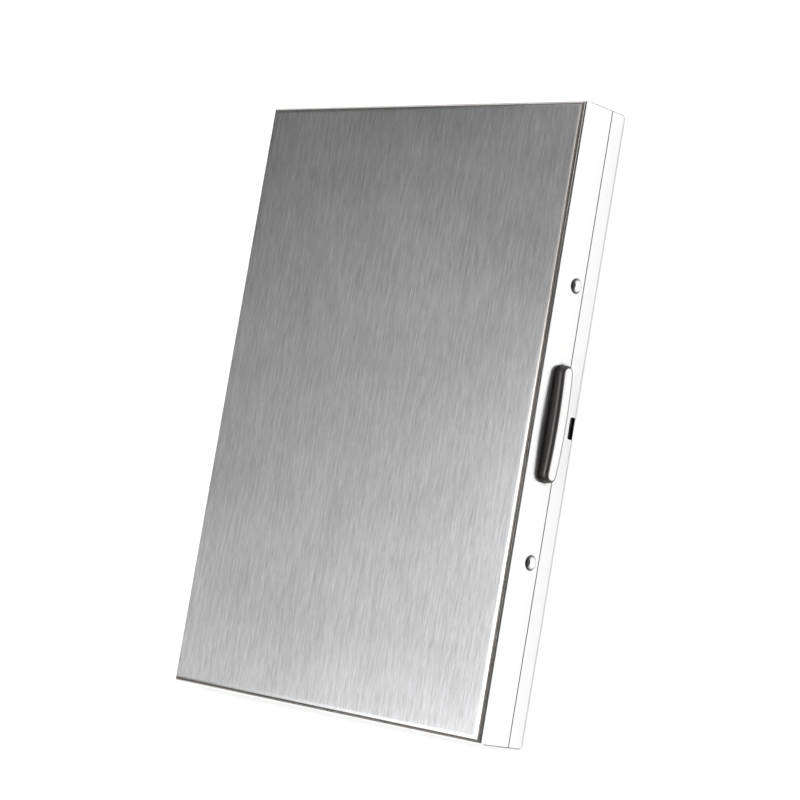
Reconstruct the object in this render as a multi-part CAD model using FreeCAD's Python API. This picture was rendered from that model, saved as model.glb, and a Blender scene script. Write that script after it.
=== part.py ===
"""Slim stainless-steel card case: two folded sheet shells on a piano hinge, closed by a push-button
latch on the opposite long wall, with a seven-leaf accordion card organizer inside.

Frame, in millimetres: the case lies closed on its back. Z = 0 is the flat underside and +Z is up
through the lid. Y runs along the long side and +X points from the hinge to the latch.
The origin is the middle of the underside.
"""

import FreeCAD
import Part

import math
import os

V = FreeCAD.Vector

# ---- driving dimensions ----
LENGTH = 98.0          # long side, along Y
WIDTH = 69.0           # short side, hinge wall to latch wall, along X
THICKNESS = 10.6       # closed height, along Z
BASE_DEPTH = 3.65      # height of the base shell's walls, which is where the two shells meet
SHEET = 0.5            # steel sheet of both shells
LID_BEND = 1.3         # outer radius of the lid's folds
BASE_BEND = 0.9        # outer radius of the base's folds
SEAM_GAP = 0.08        # gap between the rims of the closed shells

# ---- hinge ----
HINGE_LENGTH = 94.0
KNUCKLES = 11          # the 1st, 3rd, ... belong to the base leaf, the others to the lid leaf
KNUCKLE_GAP = 0.12     # between neighbouring knuckles
BARREL_R = 1.15
PIN_R = 0.8
PIN_CHAMFER = 0.2
LID_BORE_PLAY = 0.04   # radial running clearance of the lid's knuckles on the pin
LEAF_SHEET = 0.3
LEAF_HEIGHT_LID = 4.6  # of the lid leaf's plate, above the hinge axis
LEAF_HEIGHT_BASE = 2.6 # of the base leaf's plate, below the hinge axis
BARREL_ROOM = 0.15     # clearance cut into both shells round the barrel

# ---- latch ----
LATCH_Z = 5.5          # centre line of button, spring and rivets
BUTTON_LENGTH = 18.0
BUTTON_WIDTH = 2.8
BUTTON_PROUD = 1.8     # how far the middle of the crown stands out of the wall
BUTTON_END_DROP = 0.4  # how much lower the crown is at the ends of the button
BUTTON_SIDE_DROP = 0.25   # how much lower it is at the long sides
BUTTON_PLAY = 0.12     # round the button in its window
LIP_WIDER = 0.7        # retaining lip behind the wall, beyond the button's outline
LIP_THICK = 0.5
LIP_BACKLASH = 0.1     # gap between the lip and the inside of the wall
SPRING_SHEET = 0.3
SPRING_WIDTH = 3.4
SPRING_LENGTH = 48.0
SPRING_FLAT_HALF = 12.0   # half length of the flat middle stretch that carries the button
SPRING_FOOT_START = 17.5  # where the sloping arms reach the wall
RIVET_Y = 21.2         # the two rivets sit at plus and minus this
RIVET_SHANK_R = 0.6
RIVET_HEAD_R = 1.2
RIVET_HEAD_PROUD = 0.6
RIVET_TAIL_R = 0.95
RIVET_TAIL = 0.35
PEG_Y = 4.5            # the button's two pegs sit at plus and minus this
PEG_R = 0.6
PEG_TAIL_R = 0.95
PEG_TAIL = 0.25
HOOK_SHEET = 0.4
HOOK_PLATE_LENGTH = 13.0
HOOK_TONGUE_WIDTH = 2.9
HOOK_NOSE_PROUD = 0.32 # how far the nose reaches into the wall's catch window
HOOK_NOSE_LOW, HOOK_NOSE_HIGH = 0.75, 1.45   # heights of the nose
HOOK_NOSE_LAND = 0.25  # height of the nose's blunt tip
HOOK_RAMP_START = 0.3  # how far inside the wall the ramp under the nose begins
WINDOW_LENGTH = 3.4    # catch window in the base's latch wall
WINDOW_LOW, WINDOW_HIGH = 0.3, 1.8
WINDOW_CORNER_R = 0.35

# ---- organizer ----
LEAVES = 7             # so six pockets
LEAF_THICK = 0.5
POCKET_GAP = 0.9
TAPE_THICK = 0.2
TAPE_LENGTH, TAPE_WIDTH = 80.0, 12.0
TAPE_ROWS_X = (-18.0, 14.0)
SPINE_X = -31.3
MOUTH_X = 27.7
ORGANIZER_LENGTH = 95.6
LEAF_CORNER_R = 3.0
THUMB_NOTCH_R = 11.0
THUMB_NOTCH_DEPTH = 8.0
GUSSET_DEPTH = 4.9     # how far each end gusset folds in between two leaves
GUSSET_SHEET = 0.18
GUSSET_SLIT = 0.35     # how far the inner crease of a folded gusset stops short of the outer one
GUSSET_AIR = 0.02      # between a gusset and the leaf that it is bonded to
SPINE_STRIP = 1.4      # width of the strip that closes a pocket at the hinge side
STRIP_GAP = 0.1        # between that strip and the end gussets

# ---- derived places ----
HALF_W, HALF_L = WIDTH / 2, LENGTH / 2
WALL_IN = HALF_W - SHEET                        # inside face of the two long walls
LEAF_IN = -WALL_IN + LEAF_SHEET                 # inner face of the hinge leaves
HINGE_X = LEAF_IN - BARREL_R                    # the leaves run tangent into the barrel
HINGE_Z = BASE_DEPTH
LIP_X = WALL_IN - LIP_BACKLASH - LIP_THICK      # inner face of the button's lip
PLATE_X = LIP_X - SPRING_SHEET                  # inner face of the spring's middle stretch
HOOK_X = PLATE_X - HOOK_SHEET                   # inner face of the hook plate
FIRST_LEAF_Z = SHEET + TAPE_THICK
LEAF_PITCH = LEAF_THICK + POCKET_GAP

os.makedirs("parts", exist_ok=True)


def box(x0, x1, y0, y1, z0, z1):
    """A block between two corners."""
    return Part.makeBox(x1 - x0, y1 - y0, z1 - z0, V(x0, y0, z0))


def face_of(points):
    """A flat face from corner points."""
    return Part.Face(Part.makePolygon([V(*p) for p in points] + [V(*points[0])]))


def cylinder(radius, start, direction, length):
    return Part.makeCylinder(radius, length, V(*start), V(*direction))


def arc_radius(chord, rise):
    """Radius of the arc that rises by the given amount over the given chord."""
    return (chord ** 2 / 4 + rise ** 2) / (2 * rise)


def export(node, solids):
    """Writes one node, from one solid or from a list of separate ones."""
    solids = solids if isinstance(solids, (list, tuple)) else [solids]
    shape = solids[0] if len(solids) == 1 else Part.makeCompound(list(solids))
    if not shape.isValid():
        raise ValueError(f"{node} isn't a valid shape")
    shape.exportStep(f"parts/{node}.step")
    print(f"{node:24s} solids {len(shape.Solids)}  volume {shape.Volume:9.2f} mm3")


# ---------------------------------------------------------------- shells
def trough(half, depth, run_half, radius, along):
    """A bar of U outline with two rounded lower edges, running along 'x' or 'y'."""
    r = radius
    bow = r * (1 - math.sqrt(0.5))
    flat = [(-half, depth), (-half, r), (-half + bow, bow), (-half + r, 0),
            (half - r, 0), (half - bow, bow), (half, r), (half, depth)]

    def at(p):
        return V(p[0], -run_half, p[1]) if along == "y" else V(-run_half, p[0], p[1])

    q = [at(p) for p in flat]
    edges = [
        Part.LineSegment(q[0], q[1]).toShape(),
        Part.Arc(q[1], q[2], q[3]).toShape(),
        Part.LineSegment(q[3], q[4]).toShape(),
        Part.Arc(q[4], q[5], q[6]).toShape(),
        Part.LineSegment(q[6], q[7]).toShape(),
        Part.LineSegment(q[7], q[0]).toShape(),
    ]
    run = V(0, 2 * run_half, 0) if along == "y" else V(2 * run_half, 0, 0)
    return Part.Face(Part.Wire(edges)).extrude(run)


def pan(depth, bend):
    """A folded tray with its floor at z = 0: four walls, mitred corners, folds of outer radius bend."""
    outer = trough(HALF_W, depth, HALF_L, bend, "y").common(trough(HALF_L, depth, HALF_W, bend, "x"))
    inner = trough(HALF_W - SHEET, depth, HALF_L - SHEET, bend - SHEET, "y").common(
        trough(HALF_L - SHEET, depth, HALF_W - SHEET, bend - SHEET, "x"))
    inner.translate(V(0, 0, SHEET))
    return outer.cut(inner)


def barrel_room():
    """The channel cleared in both hinge walls round the barrel."""
    half = HINGE_LENGTH / 2 + BARREL_ROOM
    return cylinder(BARREL_R + BARREL_ROOM, (HINGE_X, -half, HINGE_Z), (0, 1, 0), 2 * half)


def stadium(length, width, x0, x1, z):
    """A bar of round-ended outline, long in Y, between two X planes, centred at height z."""
    r = width / 2
    straight = length / 2 - r
    body = box(x0, x1, -straight, straight, z - r, z + r)
    for side in (-1, 1):
        body = body.fuse(cylinder(r, (x0, side * straight, z), (1, 0, 0), x1 - x0))
    return body.removeSplitter()


def base_shell():
    """Back half of the case, with the catch window low in its latch wall."""
    shell = pan(BASE_DEPTH - SEAM_GAP / 2, BASE_BEND)
    half = WINDOW_LENGTH / 2
    window = box(HALF_W - BASE_BEND, HALF_W + 1, -half, half, WINDOW_LOW, WINDOW_HIGH)
    upright = [e for e in window.Edges if abs(e.tangentAt(e.FirstParameter).x) > 0.99]
    window = window.makeFillet(WINDOW_CORNER_R, upright)
    return shell.cut(window).cut(barrel_room())


def lid_shell():
    """Front half, with the button's window and the two rivet holes in its latch wall."""
    shell = pan(THICKNESS - BASE_DEPTH - SEAM_GAP / 2, LID_BEND)
    shell.rotate(V(0, 0, 0), V(0, 1, 0), 180)
    shell.translate(V(0, 0, THICKNESS))
    long, wide = BUTTON_LENGTH + 2 * BUTTON_PLAY, BUTTON_WIDTH + 2 * BUTTON_PLAY
    window = stadium(long, wide, WALL_IN - 1, HALF_W + 1, LATCH_Z)
    shell = shell.cut(window)
    for side in (-1, 1):
        start = (WALL_IN - 1, side * RIVET_Y, LATCH_Z)
        shell = shell.cut(cylinder(RIVET_SHANK_R, start, (1, 0, 0), SHEET + 2))
    return shell.cut(barrel_room())


# ---------------------------------------------------------------- hinge
def knuckle_spans(first):
    """(start, end) in Y of every second knuckle, counted from the first one at the -Y end."""
    pitch = HINGE_LENGTH / KNUCKLES
    for i in range(first, KNUCKLES, 2):
        start = -HINGE_LENGTH / 2 + i * pitch
        yield start + KNUCKLE_GAP / 2, start + pitch - KNUCKLE_GAP / 2


def hinge_leaf(first, bore, up, height):
    """One leaf of the piano hinge: a plate against the shell's wall, curled into every second knuckle."""
    clear = BARREL_R + BARREL_ROOM
    z0, z1 = (HINGE_Z + clear, HINGE_Z + height) if up else (HINGE_Z - height, HINGE_Z - clear)
    leaf = box(-WALL_IN, LEAF_IN, -HINGE_LENGTH / 2, HINGE_LENGTH / 2, z0, z1)
    for y0, y1 in knuckle_spans(first):
        neck_low, neck_high = (HINGE_Z, z0) if up else (z1, HINGE_Z)
        leaf = leaf.fuse(box(LEAF_IN - LEAF_SHEET, LEAF_IN, y0, y1, neck_low, neck_high))
        leaf = leaf.fuse(cylinder(BARREL_R, (HINGE_X, y0, HINGE_Z), (0, 1, 0), y1 - y0))
    leaf = leaf.cut(cylinder(bore, (HINGE_X, -HINGE_LENGTH, HINGE_Z), (0, 1, 0), 2 * HINGE_LENGTH))
    return leaf.removeSplitter()


def hinge_pin():
    """Straight pin through all the knuckles, its ends chamfered."""
    pin = cylinder(PIN_R, (HINGE_X, -HINGE_LENGTH / 2, HINGE_Z), (0, 1, 0), HINGE_LENGTH)
    return pin.makeChamfer(PIN_CHAMFER, [e for e in pin.Edges if e.Closed])


# ---------------------------------------------------------------- latch
def push_button():
    """Crowned oval button with a retaining lip behind the wall and two pegs for the spring and the hook."""
    crown_x = HALF_W + BUTTON_PROUD
    long, wide = BUTTON_LENGTH + 2 * LIP_WIDER, BUTTON_WIDTH + 2 * LIP_WIDER
    body = stadium(BUTTON_LENGTH, BUTTON_WIDTH, WALL_IN - LIP_BACKLASH, crown_x, LATCH_Z)
    end_r = arc_radius(BUTTON_LENGTH, BUTTON_END_DROP)
    side_r = arc_radius(BUTTON_WIDTH, BUTTON_SIDE_DROP)
    lengthwise = cylinder(end_r, (crown_x - end_r, 0, LATCH_Z - BUTTON_WIDTH), (0, 0, 1), 2 * BUTTON_WIDTH)
    crosswise = cylinder(side_r, (crown_x - side_r, -BUTTON_LENGTH, LATCH_Z), (0, 1, 0), 2 * BUTTON_LENGTH)
    body = body.common(lengthwise).common(crosswise)
    body = body.fuse(stadium(long, wide, LIP_X, LIP_X + LIP_THICK, LATCH_Z))
    for side in (-1, 1):
        body = body.fuse(cylinder(PEG_R, (HOOK_X, side * PEG_Y, LATCH_Z), (1, 0, 0), LIP_X - HOOK_X))
        tail_start = (HOOK_X - PEG_TAIL, side * PEG_Y, LATCH_Z)
        body = body.fuse(cylinder(PEG_TAIL_R, tail_start, (1, 0, 0), PEG_TAIL))
    return body.removeSplitter()


def latch_spring():
    """Leaf spring: feet riveted to the lid's wall, arms sloping in to the flat stretch behind the button."""
    foot_in, foot_out = WALL_IN - SPRING_SHEET, WALL_IN
    mid_in, mid_out = PLATE_X, LIP_X
    end, foot, flat = SPRING_LENGTH / 2, SPRING_FOOT_START, SPRING_FLAT_HALF
    inner = [(foot_in, -end), (foot_in, -foot), (mid_in, -flat)]
    inner += [(x, -y) for x, y in reversed(inner)]
    outer = [(foot_out, end), (foot_out, foot), (mid_out, flat)]
    outer += [(x, -y) for x, y in reversed(outer)]
    z0 = LATCH_Z - SPRING_WIDTH / 2
    strip = face_of([(x, y, z0) for x, y in inner + outer]).extrude(V(0, 0, SPRING_WIDTH))
    for side in (-1, 1):
        strip = strip.cut(cylinder(RIVET_SHANK_R, (foot_in - 1, side * RIVET_Y, LATCH_Z), (1, 0, 0), 3))
        strip = strip.cut(cylinder(PEG_R, (mid_in - 1, side * PEG_Y, LATCH_Z), (1, 0, 0), 3))
    return strip


def latch_hook():
    """T-shaped plate on the spring; its tongue reaches down into the base and ends in an outward nose."""
    x0, x1 = HOOK_X, PLATE_X
    z0, z1 = LATCH_Z - SPRING_WIDTH / 2, LATCH_Z + SPRING_WIDTH / 2
    plate = box(x0, x1, -HOOK_PLATE_LENGTH / 2, HOOK_PLATE_LENGTH / 2, z0, z1)
    half = HOOK_TONGUE_WIDTH / 2
    plate = plate.fuse(box(x0, x1, -half, half, HOOK_NOSE_LOW, z0))
    tip = WALL_IN + HOOK_NOSE_PROUD
    nose = [(x1, HOOK_NOSE_LOW), (WALL_IN - HOOK_RAMP_START, HOOK_NOSE_LOW),
            (tip, HOOK_NOSE_HIGH - HOOK_NOSE_LAND), (tip, HOOK_NOSE_HIGH), (x1, HOOK_NOSE_HIGH)]
    plate = plate.fuse(face_of([(x, -half, z) for x, z in nose]).extrude(V(0, 2 * half, 0)))
    for side in (-1, 1):
        plate = plate.cut(cylinder(PEG_R, (x0 - 1, side * PEG_Y, LATCH_Z), (1, 0, 0), 3))
    return plate.removeSplitter()


def latch_rivet(side):
    """Solid rivet: domed head outside, shank through wall and spring, upset tail inside."""
    y = side * RIVET_Y
    dome_r = arc_radius(2 * RIVET_HEAD_R, RIVET_HEAD_PROUD)
    dome = Part.makeSphere(dome_r, V(HALF_W + RIVET_HEAD_PROUD - dome_r, y, LATCH_Z))
    head = dome.common(cylinder(2 * RIVET_HEAD_R, (HALF_W, y, LATCH_Z), (1, 0, 0), 2))
    shank = cylinder(RIVET_SHANK_R, (WALL_IN - SPRING_SHEET, y, LATCH_Z), (1, 0, 0), SHEET + SPRING_SHEET)
    tail = cylinder(RIVET_TAIL_R, (WALL_IN - SPRING_SHEET - RIVET_TAIL, y, LATCH_Z), (1, 0, 0), RIVET_TAIL)
    return head.fuse(shank).fuse(tail).removeSplitter()


# ---------------------------------------------------------------- organizer
def leaf_z(i):
    """Underside of leaf i, counted from 0 at the base."""
    return FIRST_LEAF_Z + i * LEAF_PITCH


def divider(i):
    """One leaf of the accordion: a thin sheet with rounded mouth corners and a thumb notch."""
    z = leaf_z(i)
    sheet = box(SPINE_X, MOUTH_X, -ORGANIZER_LENGTH / 2, ORGANIZER_LENGTH / 2, z, z + LEAF_THICK)
    corners = [e for e in sheet.Edges if abs(e.CenterOfMass.x - MOUTH_X) < 0.01 and e.Length < 2 * LEAF_THICK]
    sheet = sheet.makeFillet(LEAF_CORNER_R, corners)
    notch_x = MOUTH_X - THUMB_NOTCH_DEPTH + THUMB_NOTCH_R
    return sheet.cut(cylinder(THUMB_NOTCH_R, (notch_x, 0, z - 1), (0, 0, 1), LEAF_THICK + 2))


def gusset(i):
    """Folded strips that close pocket i: a V at each end, and a flat strip along the hinge side."""
    low = leaf_z(i) + LEAF_THICK + GUSSET_AIR
    high = leaf_z(i + 1) - GUSSET_AIR
    mid, t = (low + high) / 2, GUSSET_SHEET
    solids = []
    for side in (-1, 1):
        y_out, y_in = side * ORGANIZER_LENGTH / 2, side * (ORGANIZER_LENGTH / 2 - GUSSET_DEPTH)
        y_slit = y_in + side * GUSSET_SLIT
        outline = [(y_out, low), (y_in, mid - t), (y_in, mid + t), (y_out, high),
                   (y_out, high - t), (y_slit, mid), (y_out, low + t)]
        x0, x1 = SPINE_X + SPINE_STRIP + STRIP_GAP, MOUTH_X - LEAF_CORNER_R
        solids.append(face_of([(x0, y, z) for y, z in outline]).extrude(V(x1 - x0, 0, 0)))
    half = ORGANIZER_LENGTH / 2
    solids.append(box(SPINE_X, SPINE_X + SPINE_STRIP, -half, half, low, high))
    return solids


def tape(z):
    """Two strips of double-sided tape between a shell and the organizer."""
    half_l, half_w = TAPE_LENGTH / 2, TAPE_WIDTH / 2
    return [box(x - half_w, x + half_w, -half_l, half_l, z, z + TAPE_THICK) for x in TAPE_ROWS_X]


# ---------------------------------------------------------------- write the nodes
export("base_shell", base_shell())
export("lid_shell", lid_shell())
export("base_hinge_leaf", hinge_leaf(0, PIN_R, False, LEAF_HEIGHT_BASE))
export("lid_hinge_leaf", hinge_leaf(1, PIN_R + LID_BORE_PLAY, True, LEAF_HEIGHT_LID))
export("hinge_pin", hinge_pin())
export("push_button", push_button())
export("latch_spring", latch_spring())
export("latch_hook", latch_hook())
export("latch_rivet_upper", latch_rivet(1))
export("latch_rivet_lower", latch_rivet(-1))
export("organizer_tape_base", tape(SHEET))
export("organizer_tape_lid", tape(THICKNESS - SHEET - TAPE_THICK))
for number in range(LEAVES):
    export(f"divider_{number + 1}", divider(number))
for number in range(LEAVES - 1):
    export(f"gusset_{number + 1}", gusset(number))
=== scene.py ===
"""Looks of the steel card case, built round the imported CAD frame.

Everything is in metres in the row frame: the case lies on its back on the floor, +Z is up through the lid,
Y runs along the long side and +X points from the hinge to the latch.
"""

import math

import bmesh
import bpy
from mathutils import Matrix, Vector

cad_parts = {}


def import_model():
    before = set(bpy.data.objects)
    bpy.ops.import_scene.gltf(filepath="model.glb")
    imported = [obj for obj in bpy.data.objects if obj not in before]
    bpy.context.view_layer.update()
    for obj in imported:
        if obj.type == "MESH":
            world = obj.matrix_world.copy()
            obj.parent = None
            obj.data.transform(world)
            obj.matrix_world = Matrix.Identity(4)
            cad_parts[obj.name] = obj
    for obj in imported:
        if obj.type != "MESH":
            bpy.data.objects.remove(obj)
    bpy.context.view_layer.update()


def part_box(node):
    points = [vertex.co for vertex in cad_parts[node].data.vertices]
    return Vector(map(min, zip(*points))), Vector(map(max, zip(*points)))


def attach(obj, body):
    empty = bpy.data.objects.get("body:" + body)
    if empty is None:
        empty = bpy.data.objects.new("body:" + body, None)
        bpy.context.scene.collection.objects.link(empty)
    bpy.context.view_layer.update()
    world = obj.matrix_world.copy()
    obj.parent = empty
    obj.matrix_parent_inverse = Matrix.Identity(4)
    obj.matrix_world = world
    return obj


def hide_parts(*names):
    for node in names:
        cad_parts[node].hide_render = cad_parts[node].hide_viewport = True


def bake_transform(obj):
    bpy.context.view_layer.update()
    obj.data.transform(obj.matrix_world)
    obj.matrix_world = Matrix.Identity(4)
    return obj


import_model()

MM = 0.001

# ---- places read from the frame ----
BASE_LOW, BASE_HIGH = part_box("base_shell")
LID_LOW, LID_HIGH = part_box("lid_shell")
BUTTON_LOW, BUTTON_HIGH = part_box("push_button")
SPRING_LOW, SPRING_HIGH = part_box("latch_spring")
HOOK_LOW, HOOK_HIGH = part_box("latch_hook")
PIN_LOW, PIN_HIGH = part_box("hinge_pin")
BASE_LEAF_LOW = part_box("base_hinge_leaf")[0]
LID_LEAF_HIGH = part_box("lid_hinge_leaf")[1]

HALF_W, HALF_L = LID_HIGH.x, LID_HIGH.y
TOP = LID_HIGH.z
SHEET = 0.5 * MM                    # steel sheet of the shells
LID_FOLD_R = 1.3 * MM               # outer radius of the lid's folds
BASE_FOLD_R = 0.9 * MM              # outer radius of the base's folds
WALL_IN = HALF_W - SHEET            # inside face of the long walls
LATCH_Z = (SPRING_LOW.z + SPRING_HIGH.z) / 2
HINGE_X = (PIN_LOW.x + PIN_HIGH.x) / 2
HINGE_Z = (PIN_LOW.z + PIN_HIGH.z) / 2
PIN_R = (PIN_HIGH.x - PIN_LOW.x) / 2
BARREL_R = HINGE_X - BASE_LEAF_LOW.x
LEAF_SHEET = 0.3 * MM               # sheet of the hinge leaves and of the latch spring
KNUCKLES = 11
KNUCKLE_GAP = 0.12 * MM
BARREL_ROOM = 0.15 * MM             # cleared in both shells round the barrel
PIN_PLAY = 0.04 * MM                # round the pin in the lid's knuckles


# ================================================================ mesh helpers
def make_object(name, bm, weld=1e-7):
    """A new object from a bmesh, with doubles welded and normals turned outwards."""
    bmesh.ops.remove_doubles(bm, verts=bm.verts, dist=weld)
    bmesh.ops.dissolve_degenerate(bm, dist=weld, edges=bm.edges)
    bmesh.ops.recalc_face_normals(bm, faces=bm.faces)
    mesh = bpy.data.meshes.new(name)
    bm.to_mesh(mesh)
    bm.free()
    obj = bpy.data.objects.new(name, mesh)
    bpy.context.scene.collection.objects.link(obj)
    return obj


def apply_modifiers(obj):
    """Bakes an object's modifiers into its mesh."""
    graph = bpy.context.evaluated_depsgraph_get()
    final = obj.evaluated_get(graph)
    mesh = bpy.data.meshes.new_from_object(final, preserve_all_data_layers=True, depsgraph=graph)
    obj.modifiers.clear()
    old = obj.data
    obj.data = mesh
    bpy.data.meshes.remove(old)


def cut(obj, cutters):
    """Takes the cutters away from obj and removes them."""
    for cutter in cutters:
        boolean = obj.modifiers.new("cut", "BOOLEAN")
        boolean.operation = "DIFFERENCE"
        boolean.solver = "EXACT"
        boolean.object = cutter
    apply_modifiers(obj)
    for cutter in cutters:
        bpy.data.objects.remove(cutter)


def soften(obj, width, segments=3, angle=40):
    """Rounds the sharp edges of obj."""
    bevel = obj.modifiers.new("soften", "BEVEL")
    bevel.width = width
    bevel.segments = segments
    bevel.limit_method = "ANGLE"
    bevel.angle_limit = math.radians(angle)
    bevel.harden_normals = False
    apply_modifiers(obj)


def shade(obj, angle=40):
    """Smooth shading that keeps flat faces flat."""
    obj.data.shade_smooth()
    obj.data.set_sharp_from_angle(angle=math.radians(angle))
    weighted = obj.modifiers.new("weighted", "WEIGHTED_NORMAL")
    weighted.keep_sharp = True
    weighted.weight = 80
    apply_modifiers(obj)


def dress(obj, material, slot, *nodes):
    """Gives obj its material and lets it stand for CAD nodes. The slot argument is not used."""
    obj.data.materials.clear()
    obj.data.materials.append(material)
    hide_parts(*nodes)


def bridge_rings(bm, rings):
    """A closed skin over rings of points, which all have the same count, with a face at either end."""
    made = [[bm.verts.new(p) for p in ring] for ring in rings]
    count = len(made[0])
    for low, high in zip(made, made[1:]):
        for i in range(count):
            k = (i + 1) % count
            bm.faces.new((low[i], low[k], high[k], high[i]))
    bm.faces.new(list(reversed(made[0])))
    bm.faces.new(made[-1])


def rounded_rectangle(half_x, half_y, radius, steps=6):
    """(x, y) points round a rectangle with rounded corners."""
    points = []
    for quarter, (sx, sy) in enumerate(((1, 1), (-1, 1), (-1, -1), (1, -1))):
        cx, cy = sx * (half_x - radius), sy * (half_y - radius)
        for i in range(steps + 1):
            a = (quarter + i / steps) * math.pi / 2
            points.append((cx + radius * math.cos(a), cy + radius * math.sin(a)))
    return points


def stadium(length, width, arc_steps=14, straight_steps=28):
    """(y, z) points round a round-ended outline that is long in Y, about its own middle."""
    r = width / 2
    straight = max(length / 2 - r, 0)
    points = []
    for end in (1, -1):
        for i in range(arc_steps + 1):
            a = -math.pi / 2 + i / arc_steps * math.pi
            points.append((end * (straight + r * math.cos(a)), end * r * math.sin(a)))
        for i in range(1, straight_steps):
            points.append((end * straight * (1 - 2 * i / straight_steps), end * r))
    return points


def prism(name, outline, low, high, axis):
    """A block with a flat outline between two planes square to axis, which is 'x', 'y' or 'z'."""
    places = {
        "x": lambda a, b, h: Vector((h, a, b)),
        "y": lambda a, b, h: Vector((a, h, b)),
        "z": lambda a, b, h: Vector((a, b, h)),
    }
    place = places[axis]
    bm = bmesh.new()
    bridge_rings(bm, [[place(a, b, h) for a, b in outline] for h in (low, high)])
    return make_object(name, bm)


def turned(bm, profile, centre, steps=40):
    """A solid turned about a line along X through centre, from (x, radius) points."""
    rings = []
    for x, radius in profile:
        ring = []
        for i in range(steps):
            a = 2 * math.pi * i / steps
            ring.append(Vector((x, centre[0] + radius * math.cos(a), centre[1] + radius * math.sin(a))))
        rings.append(ring)
    bridge_rings(bm, rings)


def joined(name, objects):
    """Several mesh objects as one."""
    bm = bmesh.new()
    for obj in objects:
        bm.from_mesh(obj.data)
        bpy.data.objects.remove(obj)
    mesh = bpy.data.meshes.new(name)
    bm.to_mesh(mesh)
    bm.free()
    whole = bpy.data.objects.new(name, mesh)
    bpy.context.scene.collection.objects.link(whole)
    return whole


# ================================================================ material helpers
# Brown colour of the painted shade laid into crevices and round proud parts by ambient occlusion.
CREVICE_SHADE = (0.09, 0.065, 0.05)


class Nodes:
    """A material's node tree with short calls for the nodes used here."""

    def __init__(self, name):
        self.material = bpy.data.materials.new(name)
        self.material.use_nodes = True
        self.tree = self.material.node_tree
        self.shader = self.tree.nodes["Principled BSDF"]

    def add(self, kind, **values):
        node = self.tree.nodes.new(kind)
        for key, value in values.items():
            setattr(node, key, value)
        return node

    def link(self, source, target):
        self.tree.links.new(source, target)

    def put(self, value, socket):
        """Links another node's output to the socket, or gives the socket a plain number or colour."""
        if hasattr(value, "links"):
            self.link(value, socket)
        elif socket.type == "RGBA":
            socket.default_value = (*value, 1)
        else:
            socket.default_value = value

    def coordinates(self, scale=(1, 1, 1)):
        """Object coordinates, stretched."""
        where = self.add("ShaderNodeTexCoord")
        mapping = self.add("ShaderNodeMapping")
        mapping.inputs["Scale"].default_value = scale
        self.link(where.outputs["Object"], mapping.inputs["Vector"])
        return mapping.outputs["Vector"]

    def noise(self, scale, vector=None, detail=2.0, roughness=0.5, distortion=0.0):
        node = self.add("ShaderNodeTexNoise")
        node.inputs["Scale"].default_value = scale
        node.inputs["Detail"].default_value = detail
        node.inputs["Roughness"].default_value = roughness
        node.inputs["Distortion"].default_value = distortion
        self.link(self.coordinates() if vector is None else vector, node.inputs["Vector"])
        return node.outputs["Fac"]

    def math(self, operation, *values):
        node = self.add("ShaderNodeMath", operation=operation)
        for value, socket in zip(values, node.inputs):
            self.put(value, socket)
        return node.outputs[0]

    def ramp(self, value, low, high, to_low, to_high, smooth=False):
        """Maps value from low..high to to_low..to_high, clamped."""
        node = self.add("ShaderNodeMapRange")
        node.interpolation_type = "SMOOTHSTEP" if smooth else "LINEAR"
        for key, number in zip(("From Min", "From Max", "To Min", "To Max"), (low, high, to_low, to_high)):
            node.inputs[key].default_value = number
        self.link(value, node.inputs["Value"])
        return node.outputs["Result"]

    def mix(self, factor, a, b):
        """Colour between a and b."""
        node = self.add("ShaderNodeMix", data_type="RGBA")
        self.link(factor, node.inputs["Factor"])
        self.put(a, node.inputs[6])
        self.put(b, node.inputs[7])
        return node.outputs[2]

    def scaled(self, colour, factor):
        """A colour multiplied by a number."""
        node = self.add("ShaderNodeVectorMath", operation="SCALE")
        self.put(colour, node.inputs[0])
        self.link(factor, node.inputs["Scale"])
        return node.outputs[0]

    def bump(self, height, strength, distance):
        node = self.add("ShaderNodeBump")
        node.inputs["Strength"].default_value = strength
        node.inputs["Distance"].default_value = distance
        self.link(height, node.inputs["Height"])
        self.link(node.outputs["Normal"], self.shader.inputs["Normal"])

    def tangent_along(self, direction):
        """Sets the brushing direction, given in the object's own frame."""
        turn = self.add("ShaderNodeVectorTransform", vector_type="VECTOR",
                        convert_from="OBJECT", convert_to="WORLD")
        turn.inputs["Vector"].default_value = direction
        self.link(turn.outputs["Vector"], self.shader.inputs["Tangent"])

    def normal(self, axis):
        """One component of the surface's normal in the object's own frame."""
        where = self.add("ShaderNodeTexCoord")
        split = self.add("ShaderNodeSeparateXYZ")
        self.link(where.outputs["Normal"], split.inputs[0])
        return split.outputs[axis]

    def up_facing(self, low, high):
        """1 where the surface faces up or down, and 0 on its walls."""
        return self.ramp(self.math("ABSOLUTE", self.normal("Z")), low, high, 0, 1, smooth=True)

    def outward(self, low, high):
        """0 to 1 as the surface turns to face +X, straight out of the latch wall."""
        return self.ramp(self.normal("X"), low, high, 0, 1, smooth=True)

    def shaded_in_crevices(self, colour, reach):
        """A colour that turns to brown painted shade, by ambient occlusion, in crevices and round proud parts
        up to about the given width.
        """
        hollow = self.add("ShaderNodeAmbientOcclusion", samples=8)
        hollow.inputs["Distance"].default_value = reach
        return self.mix(self.ramp(hollow.outputs["AO"], 0.35, 0.9, 0, 1, smooth=True), CREVICE_SHADE, colour)

    def set(self, **values):
        """Sets the shader's sockets, whose names are written with underscores, and gives the material."""
        for key, value in values.items():
            self.put(value, self.shader.inputs[key.replace("_", " ")])
        return self.material


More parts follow.
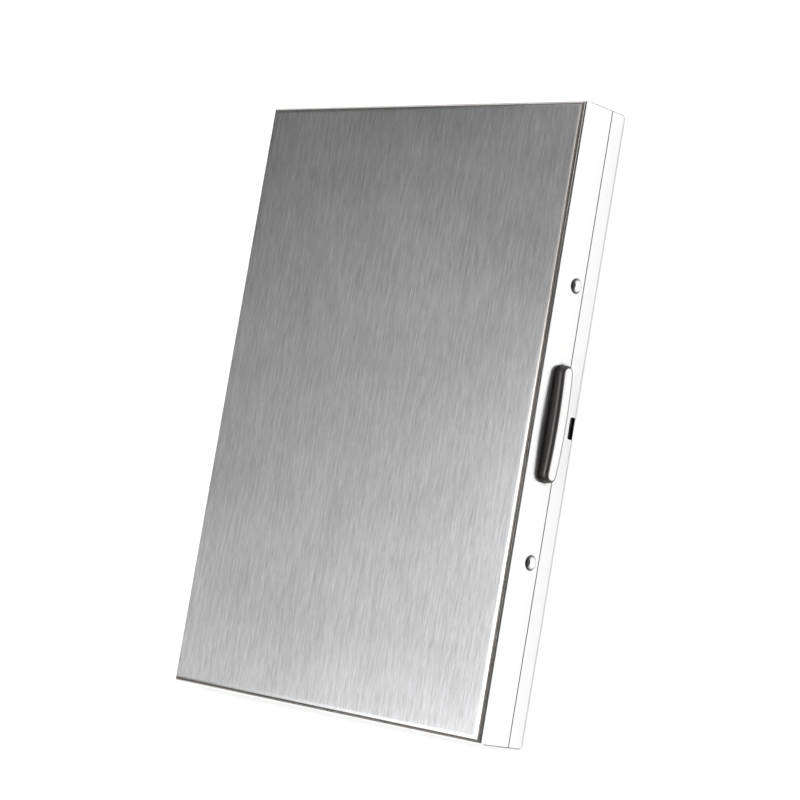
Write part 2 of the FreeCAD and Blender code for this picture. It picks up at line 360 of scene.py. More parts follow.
# ================================================================ materials
def shell_steel():
    """Stainless sheet: long fine strokes along Y on the two faces, bright folded walls."""
    n = Nodes("shell_steel")
    face = n.up_facing(0.93, 0.999)
    fine = n.noise(1, n.coordinates((9000, 480, 9000)), detail=3, roughness=0.6)
    stroke = n.noise(1, n.coordinates((4600, 150, 4600)), detail=3, roughness=0.6)
    band = n.noise(1, n.coordinates((700, 30, 700)), detail=2)
    cloud = n.noise(50, detail=4, roughness=0.6, distortion=0.6)
    strokes = n.math("ADD", n.math("MULTIPLY", fine, 0.55), n.math("MULTIPLY", stroke, 0.45))
    tone = n.math("ADD", n.ramp(strokes, 0.3, 0.7, 0.7, 1.3), n.ramp(band, 0.3, 0.7, -0.015, 0.015))
    tone = n.math("ADD", tone, n.ramp(cloud, 0.3, 0.7, -0.045, 0.045))
    brushed = n.scaled((0.60, 0.602, 0.61), tone)
    fold = n.up_facing(0.4, 0.8)
    # painted shade: the folds between face and wall get a darker, browner colour than the walls
    wall = n.mix(fold, (0.775, 0.772, 0.77), (0.60, 0.568, 0.54))
    # painted shade: brown darkening by ambient occlusion within 1.2 mm of crevices and of proud parts such as
    # the button and rivets
    colour = n.shaded_in_crevices(n.mix(face, wall, brushed), 1.2 * MM)
    rough_face = n.math("ADD", n.ramp(strokes, 0.3, 0.7, 0.37, 0.43), n.ramp(cloud, 0.35, 0.7, 0, 0.02))
    rough_wall = n.math("ADD", n.ramp(cloud, 0.3, 0.7, 0.1, 0.16), n.math("MULTIPLY", fold, 0.14))
    roughness = n.math("ADD", n.math("MULTIPLY", rough_face, face),
                       n.math("MULTIPLY", rough_wall, n.math("SUBTRACT", 1.0, face)))
    n.bump(n.math("MULTIPLY", strokes, face), 0.2, 0.00001)
    n.tangent_along((0.02, 1, 0.015))
    # a quarter turn, because the gloss spreads across the strokes
    n.set(Anisotropic=0.75, Anisotropic_Rotation=0.25)
    return n.set(Base_Color=colour, Metallic=1.0, Roughness=roughness)


def plain_steel(name, colour, roughness):
    """Small steel pieces: satin or polished, with fine rolling marks, slight staining and painted shade in
    their crevices.
    """
    n = Nodes(name)
    grain = n.noise(1, n.coordinates((5200, 600, 5200)), detail=3, roughness=0.6)
    stain = n.noise(700, detail=3, roughness=0.6)
    tone = n.math("ADD", n.ramp(grain, 0.3, 0.7, 0.94, 1.05), n.ramp(stain, 0.3, 0.7, -0.05, 0.03))
    rough = n.math("ADD", n.ramp(grain, 0.3, 0.7, roughness * 0.85, roughness * 1.15),
                   n.ramp(stain, 0.4, 0.75, 0, roughness * 0.3))
    n.bump(grain, 0.12, 0.00001)
    # painted shade: brown darkening by ambient occlusion within 0.35 mm of crevices
    return n.set(Base_Color=n.shaded_in_crevices(n.scaled(colour, tone), 0.35 * MM), Metallic=1.0, Roughness=rough)


def polished_steel(name, flank_from, crown_from):
    """Bright polished crown and duller flanks darkened with painted shade, told apart by how squarely they
    face outwards.
    """
    n = Nodes(name)
    crown = n.outward(flank_from, crown_from)
    stain = n.noise(700, detail=3, roughness=0.6)
    scratch = n.noise(1, n.coordinates((5200, 600, 5200)), detail=3, roughness=0.6)
    # painted shade: surfaces turning away from +X get a near-black colour, the crown the bright steel colour
    colour = n.mix(crown, (0.105, 0.1, 0.098), (0.80, 0.79, 0.785))
    n.bump(scratch, 0.1, 0.00001)
    flank_rough = n.ramp(stain, 0.3, 0.7, 0.42, 0.5)
    crown_rough = n.ramp(scratch, 0.3, 0.7, 0.12, 0.18)
    roughness = n.math("ADD", n.math("MULTIPLY", crown_rough, crown),
                       n.math("MULTIPLY", flank_rough, n.math("SUBTRACT", 1.0, crown)))
    stained = n.scaled(colour, n.ramp(stain, 0.3, 0.7, 0.94, 1.03))
    return n.set(Base_Color=stained, Metallic=1.0, Roughness=roughness)


def black_steel():
    """Near-black spring steel, with bare metal showing on its high spots; the near-black colour is painted
    shade for the dark catch window its nose sits in.
    """
    n = Nodes("black_steel")
    mottle = n.noise(900, detail=4, roughness=0.65)
    worn = n.noise(2500, detail=2)
    # painted shade: near-black base colour standing in for the dark catch window; the lighter worn spots are
    # wear
    colour = n.mix(n.ramp(worn, 0.62, 0.75, 0, 0.5), (0.018, 0.017, 0.018), (0.09, 0.088, 0.085))
    n.bump(mottle, 0.2, 0.00001)
    return n.set(Base_Color=colour, Metallic=0.85, Roughness=n.ramp(mottle, 0.3, 0.7, 0.32, 0.5))


def leaf_plastic():
    """Charcoal polypropylene sheet with a fine pebbled grain."""
    n = Nodes("leaf_plastic")
    cells = n.add("ShaderNodeTexVoronoi", feature="F1")
    cells.inputs["Scale"].default_value = 2600
    n.link(n.coordinates(), cells.inputs["Vector"])
    pebbles = n.ramp(cells.outputs["Distance"], 0.1, 0.75, 1, 0, smooth=True)
    haze = n.noise(120, detail=3, roughness=0.6)
    tone = n.ramp(haze, 0.3, 0.7, 0.86, 1.16)
    height = n.math("ADD", n.math("MULTIPLY", pebbles, 0.7), n.math("MULTIPLY", haze, 0.3))
    n.bump(height, 0.45, 0.00006)
    rough = n.math("ADD", n.ramp(haze, 0.3, 0.7, 0.42, 0.52), n.ramp(pebbles, 0, 1, 0.08, 0))
    n.set(IOR=1.49)
    return n.set(Base_Color=n.scaled((0.032, 0.033, 0.036), tone), Roughness=rough)


def gusset_film():
    """Softer, slightly shinier film of the folded gussets, with fine creases."""
    n = Nodes("gusset_film")
    crease = n.noise(1, n.coordinates((900, 260, 900)), detail=4, roughness=0.65, distortion=1.2)
    haze = n.noise(160, detail=2)
    n.bump(crease, 0.35, 0.00004)
    return n.set(Base_Color=n.scaled((0.045, 0.046, 0.05), n.ramp(haze, 0.3, 0.7, 0.85, 1.15)),
                 Roughness=n.ramp(crease, 0.3, 0.7, 0.34, 0.5))


def adhesive_tape():
    """Off-white double-sided tape with fibres in it."""
    n = Nodes("adhesive_tape")
    fibres = n.noise(1, n.coordinates((1500, 160, 1500)), detail=4, roughness=0.7)
    n.bump(fibres, 0.2, 0.00002)
    return n.set(Base_Color=n.mix(n.ramp(fibres, 0.3, 0.7, 0, 1), (0.72, 0.70, 0.64), (0.82, 0.81, 0.77)),
                 Roughness=n.ramp(fibres, 0.3, 0.7, 0.5, 0.65))


def floor_paper():
    """Pale matt studio paper."""
    n = Nodes("floor_paper")
    fibre = n.noise(900, detail=4, roughness=0.6)
    n.bump(fibre, 0.05, 0.00005)
    return n.set(Base_Color=n.mix(n.ramp(fibre, 0.3, 0.7, 0, 1), (0.86, 0.86, 0.86), (0.88, 0.88, 0.88)),
                 Roughness=0.85)


SHELL_STEEL = shell_steel()
HINGE_STEEL = plain_steel("hinge_steel", (0.62, 0.61, 0.60), 0.28)
BUTTON_STEEL = polished_steel("button_steel", 0.955, 0.995)
RIVET_STEEL = polished_steel("rivet_steel", 0.7, 0.93)
SPRING_STEEL = plain_steel("spring_steel", (0.50, 0.50, 0.505), 0.25)
BLACK_STEEL = black_steel()
LEAF_PLASTIC = leaf_plastic()
GUSSET_FILM = gusset_film()
ADHESIVE_TAPE = adhesive_tape()


# ================================================================ shells
CORNER_R = 0.2 * MM        # of the upright corners
RIM_R = 0.1 * MM           # broken edge of the sheet at the rim
FOLD_STEPS = 14
RIM_STEPS = 4
CROWN_REACH = 8 * MM       # how far from the folds the flat faces begin to fall away
CROWN_DROP = 0.11 * MM     # how far they have fallen there
CROWN_STEPS = 9
SLIT_WIDTH = 0.14 * MM     # mitred joint between two folded walls
SLIT_IN, SLIT_OUT = 1.5 * MM, 1 * MM    # how far its cutter reaches inside and outside the corner
BUTTON_PLAY = 0.12 * MM    # round the button in its window
CATCH_HALF_LENGTH = 1.7 * MM
CATCH_LOW, CATCH_HIGH = 0.3 * MM, 1.8 * MM
CATCH_CORNER_R = 0.35 * MM
WINDOW_IN, WINDOW_OUT = 0.4 * MM, 1 * MM    # how far a window's cutter reaches past the wall's two faces


def pan_profile(depth, fold_r):
    """(inset, height) pairs from the flat face over the outside, the rim and the inside of a folded pan."""
    inner_r = fold_r - SHEET
    quarter = math.pi / 2
    crown = []
    for i in range(CROWN_STEPS + 1):
        t = i / CROWN_STEPS
        crown.append((fold_r + CROWN_REACH * (1 - t), CROWN_DROP * t * t))
    points = list(crown)
    slope = math.atan(2 * CROWN_DROP / CROWN_REACH)
    for i in range(1, FOLD_STEPS + 1):
        a = slope + (quarter - slope) * i / FOLD_STEPS
        points.append((fold_r * (1 - math.sin(a)), CROWN_DROP + fold_r * (1 - math.cos(a))))
    for i in range(RIM_STEPS + 1):
        a = quarter * i / RIM_STEPS
        points.append((RIM_R * (1 - math.cos(a)), depth - RIM_R + RIM_R * math.sin(a)))
    for i in range(RIM_STEPS + 1):
        a = quarter * (1 - i / RIM_STEPS)
        points.append((SHEET - RIM_R * (1 - math.cos(a)), depth - RIM_R + RIM_R * math.sin(a)))
    for i in range(FOLD_STEPS + 1):
        a = quarter * (1 - i / FOLD_STEPS)
        points.append((SHEET + inner_r * (1 - math.sin(a)), SHEET + CROWN_DROP + inner_r * (1 - math.cos(a))))
    return points + [(inset, height + SHEET) for inset, height in reversed(crown[:-1])]


def pan(name, floor_z, rim_z, fold_r):
    """A folded tray of sheet steel from its outside floor level to its rim."""
    way = 1 if rim_z > floor_z else -1
    bm = bmesh.new()
    rings = []
    for inset, height in pan_profile(abs(rim_z - floor_z), fold_r):
        outline = rounded_rectangle(HALF_W - inset, HALF_L - inset, max(CORNER_R - inset, 0.0))
        rings.append([Vector((x, y, floor_z + way * height)) for x, y in outline])
    bridge_rings(bm, rings)
    return make_object(name, bm)


def corner_slits(floor_z, rim_z, fold_r):
    """Cutters for the joints between the walls, one at each upright corner from the rim to the fold."""
    way = 1 if rim_z > floor_z else -1
    ends = sorted((rim_z + way * MM, floor_z + way * fold_r))
    half = SLIT_WIDTH / 2
    block = ((-SLIT_IN, -half), (SLIT_OUT, -half), (SLIT_OUT, half), (-SLIT_IN, half))
    slits = []
    for sx in (-1, 1):
        for sy in (-1, 1):
            along, aside = Vector((sx, sy)).normalized(), Vector((-sx, sy)).normalized()
            corner = Vector((sx * HALF_W, sy * HALF_L))
            outline = [corner + along * a + aside * b for a, b in block]
            slits.append(prism("slit", outline, *ends, "z"))
    return slits


def hinge_channel():
    """Cutter for the room round the barrel."""
    radius = BARREL_R + BARREL_ROOM
    outline = []
    for i in range(48):
        a = 2 * math.pi * i / 48
        outline.append((HINGE_X + radius * math.cos(a), HINGE_Z + radius * math.sin(a)))
    return prism("channel", outline, PIN_LOW.y - BARREL_ROOM, PIN_HIGH.y + BARREL_ROOM, "y")


def side_window(half_length, low, high, radius):
    """Cutter for a window with rounded corners through the latch wall."""
    middle = (low + high) / 2
    outline = [(y, z + middle) for y, z in rounded_rectangle(half_length, (high - low) / 2, radius)]
    return prism("window", outline, WALL_IN - WINDOW_IN, HALF_W + WINDOW_OUT, "x")


def lid_shell():
    shell = pan("lid_pan", TOP, LID_LOW.z, LID_FOLD_R)
    length, width = (size + 2 * BUTTON_PLAY for size in BUTTON_OUTLINE)
    window = side_window(length / 2, LATCH_Z - width / 2, LATCH_Z + width / 2, width / 2)
    cut(shell, [window, hinge_channel()] + corner_slits(TOP, LID_LOW.z, LID_FOLD_R))
    shade(shell)
    dress(shell, SHELL_STEEL, "brushed_steel", "lid_shell")
    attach(shell, "lid")


def base_shell():
    shell = pan("base_pan", BASE_LOW.z, BASE_HIGH.z, BASE_FOLD_R)
    window = side_window(CATCH_HALF_LENGTH, CATCH_LOW, CATCH_HIGH, CATCH_CORNER_R)
    cut(shell, [window, hinge_channel()] + corner_slits(BASE_LOW.z, BASE_HIGH.z, BASE_FOLD_R))
    shade(shell)
    dress(shell, SHELL_STEEL, "brushed_steel", "base_shell")
    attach(shell, "base")


# ================================================================ hinge
def curl_outline(bore, up):
    """(x, z) outline of one knuckle: the leaf's neck and the sheet rolled round the pin."""
    way = 1 if up else -1
    steps = 44
    open_angle = math.radians(24)
    neck = BARREL_R + BARREL_ROOM + 0.1 * MM
    outer, inner = [], []
    for i in range(steps + 1):
        a = -i / steps * (2 * math.pi - open_angle)
        outer.append((HINGE_X + BARREL_R * math.cos(a), HINGE_Z + way * BARREL_R * math.sin(a)))
        inner.append((HINGE_X + bore * math.cos(a), HINGE_Z + way * bore * math.sin(a)))
    leaf_x = HINGE_X + BARREL_R
    start = [(leaf_x, HINGE_Z + way * neck)]
    end = [(leaf_x - LEAF_SHEET, HINGE_Z + way * neck)]
    return start + outer + list(reversed(inner)) + end


def hinge_leaf(name, body, node, first, bore, up, z0, z1):
    """A piano-hinge leaf: the plate against the wall and every second knuckle."""
    leaf_x = HINGE_X + BARREL_R
    low_y, high_y = PIN_LOW.y, PIN_HIGH.y
    pitch = (high_y - low_y) / KNUCKLES
    plate = [(leaf_x - LEAF_SHEET, z0), (leaf_x, z0), (leaf_x, z1), (leaf_x - LEAF_SHEET, z1)]
    parts = [prism("plate", plate, low_y, high_y, "y")]
    for i in range(first, KNUCKLES, 2):
        start = low_y + i * pitch + KNUCKLE_GAP / 2
        end = low_y + (i + 1) * pitch - KNUCKLE_GAP / 2
        parts.append(prism("knuckle", curl_outline(bore, up), start, end, "y"))
    leaf = joined(name, parts)
    soften(leaf, 0.05 * MM, 2, 60)
    shade(leaf)
    dress(leaf, HINGE_STEEL, "hinge_steel", node)
    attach(leaf, body)


def hinge_pin():
    """Pin with rounded ends."""
    bm = bmesh.new()
    rings = []
    crown = 0.25 * MM
    profile = [(PIN_LOW.y + crown * (1 - math.cos(a)), PIN_R - crown + crown * math.sin(a))
               for a in (i / 6 * math.pi / 2 for i in range(7))]
    profile += [(-y, r) for y, r in reversed(profile)]
    for y, r in profile:
        rings.append([Vector((HINGE_X + r * math.cos(a), y, HINGE_Z + r * math.sin(a)))
                      for a in (2 * math.pi * i / 40 for i in range(40))])
    bridge_rings(bm, rings)
    pin = make_object("pin", bm)
    shade(pin)
    dress(pin, HINGE_STEEL, "hinge_steel", "hinge_pin")
    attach(pin, "base")


# ================================================================ latch
LIP_WIDER = 0.7 * MM            # retaining lip behind the wall, beyond the button's outline
BUTTON_OUTLINE = (BUTTON_HIGH.y * 2 - 2 * LIP_WIDER, BUTTON_HIGH.z - BUTTON_LOW.z - 2 * LIP_WIDER)
BUTTON_END_DROP = 0.4 * MM      # how much lower the crown is at the ends of the button
BUTTON_SIDE_DROP = 0.25 * MM    # how much lower it is at the long sides
BUTTON_EDGE_R = 0.5 * MM
LIP_X = WALL_IN - 0.6 * MM
LIP_THICK = 0.5 * MM
LIP_EDGE = 0.08 * MM            # width of the lip's broken edges
PEG_Y, PEG_R = 4.5 * MM, 0.6 * MM
RIVET_Y = 21.2 * MM
RIVET_HEAD_R = 1.2 * MM
RIVET_BROW = 0.06 * MM          # how far the head's rim is turned under
RIVET_TAIL = 0.35 * MM          # height of the upset tail inside
RIVET_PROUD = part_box("latch_rivet_upper")[1].x - HALF_W
SPRING_FOOT, SPRING_FLAT = 17.5 * MM, 12 * MM   # where an arm's bend starts at the wall and where it ends
SPRING_CORNER_R = 1.1 * MM
SPRING_EDGE = 0.04 * MM
SPRING_TIP = 0.4 * MM           # least height of the rounded foot
HOOK_SHEET = 0.4 * MM
TONGUE_HALF = 1.45 * MM         # half width of the hook's tongue
NOSE_TOP = 1.45 * MM            # height of the nose's upper face above the floor
NOSE_LAND = 0.25 * MM           # height of the nose's blunt tip
NOSE_RAMP = 0.3 * MM            # how far inside the wall the ramp under the nose begins
NOSE_ROOT = 0.5 * MM            # how far the nose's block goes up the tongue


def crown_x(y, z):
    """Height of the button's pillow-shaped crown over a point of its outline."""
    length, width = BUTTON_OUTLINE
    along, across = y / (length / 2), (z - LATCH_Z) / (width / 2)
    return BUTTON_HIGH.x - BUTTON_END_DROP * along ** 2 - BUTTON_SIDE_DROP * across ** 2


def button_ring(x, wider):
    """Points round the button's outline at one depth, wider than it by some amount."""
    length, width = BUTTON_OUTLINE
    return [Vector((x, y, z + LATCH_Z)) for y, z in stadium(length + wider, width + wider)]


def button_cap(bm):
    """Pillow-shaped cap with a rounded edge, rooted in the lip."""
    length, width = BUTTON_OUTLINE
    insets = [BUTTON_EDGE_R * (1 - math.cos(i / 8 * math.pi / 2)) for i in range(9)]
    insets += [BUTTON_EDGE_R + (width / 2 - BUTTON_EDGE_R) * i / 10 for i in range(1, 10)]
    insets.append(width / 2 * 0.999)
    rings = [button_ring(LIP_X + LIP_THICK / 2, 0)]
    for inset in insets:
        rest = max(BUTTON_EDGE_R - inset, 0)
        sink = BUTTON_EDGE_R - math.sqrt(BUTTON_EDGE_R ** 2 - rest ** 2)
        ring = []
        for y, z in stadium(length - 2 * inset, width - 2 * inset):
            ring.append(Vector((crown_x(y, z + LATCH_Z) - sink, y, z + LATCH_Z)))
        rings.append(ring)
    bridge_rings(bm, rings)


def button_lip(bm):
    """Flat retaining lip with broken edges."""
    edge = LIP_EDGE
    profile = [(LIP_X, -edge), (LIP_X + edge * 0.3, -edge * 0.3), (LIP_X + edge, 0),
               (LIP_X + LIP_THICK - edge, 0), (LIP_X + LIP_THICK, -edge)]
    bridge_rings(bm, [button_ring(x, 2 * (LIP_WIDER + grow)) for x, grow in profile])


def button_pegs(bm):
    """The two pegs through the spring and the hook, with upset tails."""
    tail_x, hook_x = BUTTON_LOW.x, HOOK_LOW.x
    peg = [(tail_x, 0.35 * MM), (tail_x + 0.02 * MM, 0.7 * MM), (tail_x + 0.08 * MM, 0.9 * MM),
           (tail_x + 0.16 * MM, 0.95 * MM), (hook_x, 0.93 * MM), (hook_x, PEG_R), (LIP_X, PEG_R)]
    for side in (-1, 1):
        turned(bm, peg, (side * PEG_Y, LATCH_Z))


def button():
    """Oval button: cap, retaining lip and two pegs."""
    bm = bmesh.new()
    button_cap(bm)
    button_lip(bm)
    button_pegs(bm)
    piece = make_object("button", bm)
    shade(piece, 50)
    dress(piece, BUTTON_STEEL, "polished_steel", "push_button")
    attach(piece, "latch")


def rivet(name, node, side):
    """Domed rivet head outside the wall, and the upset tail inside."""
    bm = bmesh.new()
    dome_r = (RIVET_HEAD_R ** 2 + RIVET_PROUD ** 2) / (2 * RIVET_PROUD)
    reach = math.asin(min(RIVET_HEAD_R / dome_r, 1))
    head = []
    for i in range(15):
        a = reach * (1 - i / 14)
        x = HALF_W + RIVET_PROUD - dome_r + dome_r * math.cos(a)
        head.append((x, max(dome_r * math.sin(a), 0.002 * MM)))
    head = [(HALF_W, RIVET_HEAD_R - RIVET_BROW), (HALF_W + RIVET_BROW * 0.4, RIVET_HEAD_R)] + head[1:]
    turned(bm, head, (side * RIVET_Y, LATCH_Z), 56)
    back = WALL_IN - LEAF_SHEET
    tail = RIVET_TAIL
    upset = [(back - tail * 0.75, 0.22 * MM), (back - tail * 0.98, 0.42 * MM), (back - tail, 0.55 * MM),
             (back - tail * 0.85, 0.78 * MM), (back - tail * 0.5, 0.93 * MM), (back, 0.93 * MM)]
    turned(bm, upset, (side * RIVET_Y, LATCH_Z), 40)
    piece = make_object(name, bm)
    shade(piece, 50)
    dress(piece, RIVET_STEEL, "polished_steel", node)
    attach(piece, "lid")


def spring_arm(side):
    """Half of the leaf spring, from its riveted foot to the middle of the button."""
    end = SPRING_HIGH.y
    inner_foot, inner_flat = WALL_IN - LEAF_SHEET, SPRING_LOW.x
    low, high = SPRING_LOW.z, SPRING_HIGH.z
    corner = SPRING_CORNER_R
    bm = bmesh.new()
    rings = []
    steps = 72
    for i in range(steps + 1):
        y = end * (1 - i / steps)
        t = min(max((SPRING_FOOT - y) / (SPRING_FOOT - SPRING_FLAT), 0), 1)
        x = inner_foot + (inner_flat - inner_foot) * t * t * (3 - 2 * t)
        over = max(y - (end - corner), 0)
        narrow = corner - math.sqrt(max(corner ** 2 - over ** 2, 0))
        z0, z1 = low + narrow, high - narrow
        if z1 - z0 < SPRING_TIP:
            z0, z1 = LATCH_Z - SPRING_TIP / 2, LATCH_Z + SPRING_TIP / 2
        e = SPRING_EDGE
        section = [(x, z0 + e), (x + e, z0), (x + LEAF_SHEET - e, z0), (x + LEAF_SHEET, z0 + e),
                   (x + LEAF_SHEET, z1 - e), (x + LEAF_SHEET - e, z1), (x + e, z1), (x, z1 - e)]
        rings.append([Vector((px, side * y, pz)) for px, pz in section])
    bridge_rings(bm, rings)
    name = "spring_arm_upper" if side > 0 else "spring_arm_lower"
    piece = make_object(name, bm)
    shade(piece)
    dress(piece, SPRING_STEEL, "spring_steel", "latch_spring")
    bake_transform(piece)


def hook():
    """T-shaped plate with the tongue and its outward nose."""
    x0, x1 = HOOK_LOW.x, HOOK_LOW.x + HOOK_SHEET
    half_plate, half = HOOK_HIGH.y, TONGUE_HALF
    low, high, foot = SPRING_LOW.z, SPRING_HIGH.z, HOOK_LOW.z
    plate = [(-half_plate, high), (-half_plate, low), (-half, low), (-half, foot), (half, foot), (half, low),
             (half_plate, low), (half_plate, high)]
    tip, top, root = HOOK_HIGH.x, NOSE_TOP, NOSE_TOP + NOSE_ROOT
    nose = [(x0, foot), (WALL_IN - NOSE_RAMP, foot), (tip, top - NOSE_LAND), (tip, top),
            (x1, top), (x1, root), (x0, root)]
    piece = joined("hook", [prism("plate", plate, x0, x1, "x"), prism("nose", nose, -half, half, "y")])
    soften(piece, 0.05 * MM, 2, 50)
    shade(piece)
    dress(piece, BLACK_STEEL, "black_steel", "latch_hook")
    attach(piece, "latch")


# ================================================================ organizer
LEAVES = 7
LEAF_CORNER_R = 3 * MM
THUMB_R, THUMB_DEPTH = 11 * MM, 8 * MM
GUSSET_DEPTH = 4.9 * MM
FILM = 0.08 * MM            # thickness of the gussets
TAPE_WIDTH = 12 * MM


def leaf_body(i):
    return "base" if i == 1 else f"leaf_{i}"


def divider_outline(low, high):
    """(x, y) outline of a leaf: square at the spine, rounded mouth corners, thumb notch."""
    points = [(low.x, high.y), (low.x, low.y)]
    corner_x = high.x - LEAF_CORNER_R
    for i in range(9):
        a = -math.pi / 2 + i / 8 * math.pi / 2
        points.append((corner_x + LEAF_CORNER_R * math.cos(a), low.y + LEAF_CORNER_R * (1 + math.sin(a))))
    centre = high.x - THUMB_DEPTH + THUMB_R
    reach = math.acos((centre - high.x) / THUMB_R)
    for i in range(33):
        a = -reach + 2 * reach * i / 32
        points.append((centre - THUMB_R * math.cos(a), THUMB_R * math.sin(a)))
    for i in range(9):
        a = i / 8 * math.pi / 2
        points.append((corner_x + LEAF_CORNER_R * math.cos(a), high.y - LEAF_CORNER_R * (1 - math.sin(a))))
    return points


def divider(i):
    low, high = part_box(f"divider_{i}")
    piece = prism(f"organizer_leaf_{i}", divider_outline(low, high), low.z, high.z, "z")
    soften(piece, 0.13 * MM, 3)
    shade(piece)
    dress(piece, LEAF_PLASTIC, "leaf_plastic", f"divider_{i}")
    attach(piece, leaf_body(i))


def film_ring(line, thickness):
    """Closed cross-section of a film of some thickness along a line of 2-D points."""
    line = [Vector(p) for p in line]
    ring, back = [], []
    for i, point in enumerate(line):
        along = (line[min(i + 1, len(line) - 1)] - line[max(i - 1, 0)]).normalized()
        aside = Vector((-along.y, along.x)) * thickness / 2
        ring.append(point + aside)
        back.append(point - aside)
    return ring + list(reversed(back))


def gusset(i):
    """The folded end gussets and the spine strip of pocket i."""
    below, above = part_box(f"divider_{i}")[1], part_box(f"divider_{i + 1}")[0]
    low, high = below.z, above.z
    middle = (low + high) / 2
    out_y, in_y = below.y - 0.25 * MM, below.y - GUSSET_DEPTH
    x0, x1 = above.x + 1.5 * MM, below.x - LEAF_CORNER_R
    steps_x, steps_leg = 36, 8
    bm = bmesh.new()
    for side in (-1, 1):
        line = []
        for k in range(-steps_leg, steps_leg + 1):
            t = abs(k) / steps_leg
            y = in_y + (out_y - in_y) * (t ** 1.25)
            z = middle + math.copysign((high - middle - FILM / 2) * t ** 0.8, k)
            line.append((side * y, z))
        section = film_ring(line, FILM)
        rows = []
        for s in range(steps_x + 1):
            x = x0 + (x1 - x0) * s / steps_x
            ripple = 0.03 * MM * math.sin(s * 1.3 + i) * math.sin(s * 0.37 + 2 * i)
            rows.append([Vector((x, p.x + side * ripple, p.y)) for p in section])
        bridge_rings(bm, rows)
    half = below.y
    edge = above.x + 0.05 * MM
    spine = film_ring([(edge + FILM / 2, low), (edge + 0.25 * MM, middle), (edge + FILM / 2, high)], FILM)
    bridge_rings(bm, [[Vector((p.x, y, p.y)) for p in spine] for y in (-half, half)])
    piece = make_object(f"gusset_film_{i}", bm)
    shade(piece, 60)
    dress(piece, GUSSET_FILM, "gusset_film", f"gusset_{i}")
    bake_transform(piece)


def tape(name, node, body):
    """Two strips of double-sided tape with softly cut edges."""
    low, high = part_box(node)
    half = TAPE_WIDTH / 2
    strips = []
    for centre in (low.x + half, high.x - half):
        outline = [(centre + x, y) for x, y in rounded_rectangle(half, high.y, 0.4 * MM, 4)]
        strips.append(prism("strip", outline, low.z, high.z, "z"))
    piece = joined(name, strips)
    soften(piece, 0.05 * MM, 2)
    shade(piece)
    dress(piece, ADHESIVE_TAPE, "adhesive_tape", node)
    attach(piece, body)


# ================================================================ studio
CAMERA_AT = Vector((287.4, -33.16, 298.65)) * MM
CAMERA_AIM = Vector((6.83, 1.01, 10.6)) * MM
CAMERA_ROLL = math.radians(75.39)
LENS, SENSOR = 115.9, 36   # both in millimetres
FLOOR_R = 3                # metres
FLOOR_Z = -0.05 * MM       # just clear of the case's underside


def camera():
    data = bpy.data.cameras.new("camera")
    data.sensor_width = SENSOR
    data.lens = LENS
    data.clip_start = 0.01
    obj = bpy.data.objects.new("camera", data)
    bpy.context.scene.collection.objects.link(obj)
    aim = (CAMERA_AIM - CAMERA_AT).to_track_quat("-Z", "Y").to_matrix().to_4x4()
    obj.matrix_world = Matrix.Translation(CAMERA_AT) @ aim @ Matrix.Rotation(-CAMERA_ROLL, 4, "Z")
    bpy.context.scene.camera = obj


def floor():
    bm = bmesh.new()
    bmesh.ops.create_circle(bm, cap_ends=True, segments=96, radius=FLOOR_R)
    obj = make_object("floor", bm)
    obj.data.materials.append(floor_paper())
    obj.location.z = FLOOR_Z


def area_light(name, size_x, size_y, radiance, place, aim):
    """Rectangular lamp of an even radiance that the camera doesn't see."""
    data = bpy.data.lights.new(name, "AREA")
    data.shape = "RECTANGLE"
    data.size, data.size_y = size_x, size_y
    data.energy = radiance * math.pi * size_x * size_y
    obj = bpy.data.objects.new(name, data)
    bpy.context.scene.collection.objects.link(obj)
    obj.matrix_world = Matrix.Translation(place) @ (aim - place).to_track_quat("-Z", "Y").to_matrix().to_4x4()
    obj.visible_camera = False
    return obj


SOFTBOX_HEIGHT = 0.4
# Softboxes overhead: lowest and highest X, lowest and highest Y, radiance
SOFTBOXES = {
    "main_softbox": (-0.1, 0.13, -0.2, 0.05, 4.7),
    "side_softbox": (-0.4, 0.12, -0.45, -0.08, 2.0),
    "rear_softbox": (-0.07, 0.14, 0.05, 0.35, 1.3),
}
FAR_PANEL_AT = Vector((0.25, 0.75, 0.45))
FAR_PANEL_SIZE = (0.6, 0.5)
FAR_PANEL_RADIANCE = 1.0
LAMP_AT = Vector((1.3, 0.0, 1.5))
LAMP_SIZE = 1.1
LAMP_RADIANCE = 14
AMBIENT = 0.6              # even light that only matt surfaces get
BACKGROUND = 0.97          # plain backdrop behind the floor's edge
ROOM = (0.062, 0.06, 0.06)


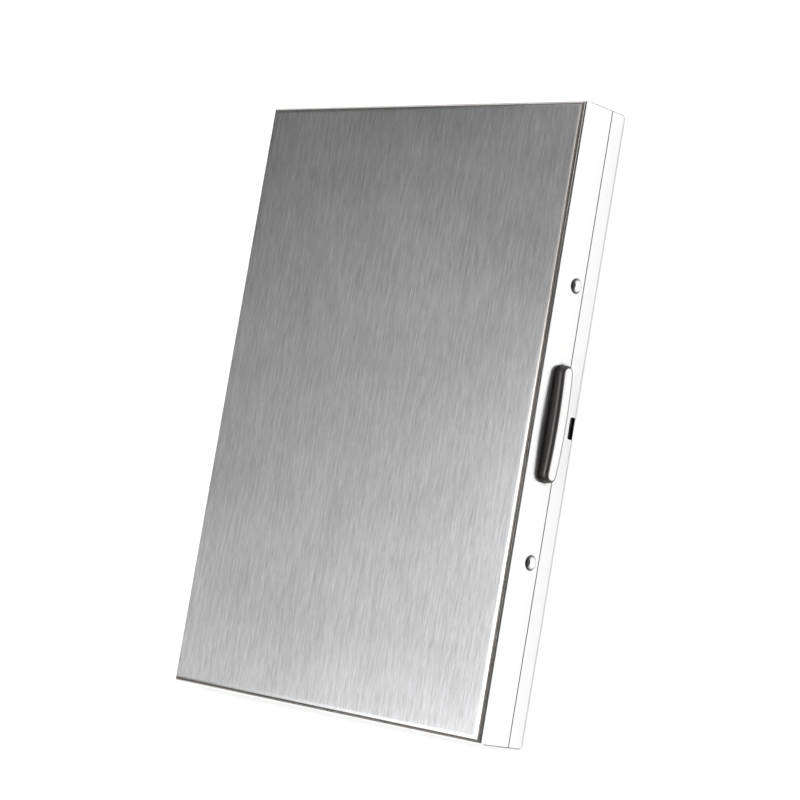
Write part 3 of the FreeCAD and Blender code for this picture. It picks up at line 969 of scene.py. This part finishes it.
def lights():
    """Softboxes that the gloss mirrors, and a far lamp on the viewer's side for everything matt."""
    for name, (x0, x1, y0, y1, radiance) in SOFTBOXES.items():
        place = Vector(((x0 + x1) / 2, (y0 + y1) / 2, SOFTBOX_HEIGHT))
        box = area_light(name, x1 - x0, y1 - y0, radiance, place, Vector((place.x, place.y, 0)))
        box.visible_diffuse = False
    panel = area_light("far_panel", *FAR_PANEL_SIZE, FAR_PANEL_RADIANCE, FAR_PANEL_AT, Vector())
    panel.visible_diffuse = False
    lamp = area_light("floor_lamp", LAMP_SIZE, LAMP_SIZE, LAMP_RADIANCE, LAMP_AT, Vector())
    lamp.visible_glossy = False


def world():
    """Studio surroundings that gloss mirrors, even light for matt surfaces, and a plain pale backdrop."""
    surround = bpy.data.worlds.new("studio")
    bpy.context.scene.world = surround
    surround.use_nodes = True
    tree = surround.node_tree
    tree.nodes.clear()
    link = tree.links.new
    seen = tree.nodes.new("ShaderNodeLightPath")

    def background(*colour):
        node = tree.nodes.new("ShaderNodeBackground")
        node.inputs["Color"].default_value = (*colour, 1)
        return node.outputs[0]

    def either(ray, others, this):
        node = tree.nodes.new("ShaderNodeMixShader")
        link(seen.outputs[ray], node.inputs["Fac"])
        link(others, node.inputs[1])
        link(this, node.inputs[2])
        return node.outputs[0]

    shown = either("Is Diffuse Ray", background(*ROOM), background(AMBIENT, AMBIENT, AMBIENT))
    shown = either("Is Camera Ray", shown, background(BACKGROUND, BACKGROUND, BACKGROUND))
    end = tree.nodes.new("ShaderNodeOutputWorld")
    link(shown, end.inputs["Surface"])


# ================================================================ build
camera()
floor()
lights()
world()
bpy.context.scene.view_settings.view_transform = "Standard"

base_shell()
lid_shell()
channel_r = BARREL_R + BARREL_ROOM
hinge_leaf("base_curls", "base", "base_hinge_leaf", 0, PIN_R, False, BASE_LEAF_LOW.z, HINGE_Z - channel_r)
hinge_leaf("lid_curls", "lid", "lid_hinge_leaf", 1, PIN_R + PIN_PLAY, True, HINGE_Z + channel_r,
           LID_LEAF_HIGH.z)
hinge_pin()
button()
rivet("rivet_upper", "latch_rivet_upper", 1)
rivet("rivet_lower", "latch_rivet_lower", -1)
spring_arm(1)
spring_arm(-1)
hook()
tape("tape_base", "organizer_tape_base", "base")
tape("tape_lid", "organizer_tape_lid", "lid")
for number in range(1, LEAVES + 1):
    divider(number)
for number in range(1, LEAVES):
    gusset(number)
